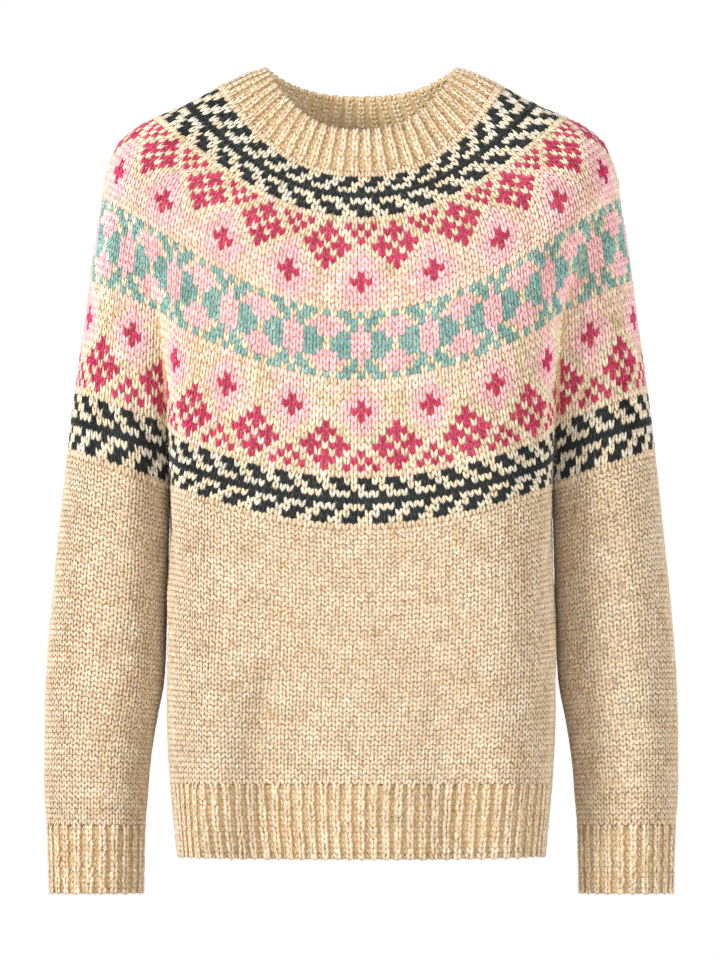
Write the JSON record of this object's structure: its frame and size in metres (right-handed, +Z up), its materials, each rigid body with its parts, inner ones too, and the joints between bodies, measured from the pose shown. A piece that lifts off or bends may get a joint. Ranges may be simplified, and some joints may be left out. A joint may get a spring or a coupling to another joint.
{
  "type": "round yoke knitted jumper",
  "caption": "Chunky knitted jumper with a patterned round yoke, long sleeves, and ribbed neck, hem and cuffs, hollow and filled out as worn.",
  "frame": {"origin": "the middle of the neck, level with the shoulders where the neckband is sewn on, where the wearer holds the jumper up", "axes": "+Z up, -Y out of the front, +X to the right of the picture, which is the wearer's left"},
  "size_m": [0.5068, 0.22, 0.66],
  "materials": {
    "oatmeal_knit": "stocking stitch in a heathered oatmeal yarn, matt and slightly hairy",
    "oatmeal_rib": "one by one rib in a heathered oatmeal yarn, matt and slightly hairy",
    "patterned_knit": "stranded stocking stitch in oatmeal, cream, near-black green, crimson, pale pink and dusty teal yarns, matt"
  },
  "bodies": {
    "root": {"neckband": "oatmeal_rib", "yoke": "patterned_knit", "front": "oatmeal_knit", "back": "oatmeal_knit", "hem_rib_front": "oatmeal_rib", "hem_rib_back": "oatmeal_rib", "sleeve_left": "oatmeal_knit", "sleeve_right": "oatmeal_knit", "cuff_left": "oatmeal_rib", "cuff_right": "oatmeal_rib"}
  },
  "joints": []
}
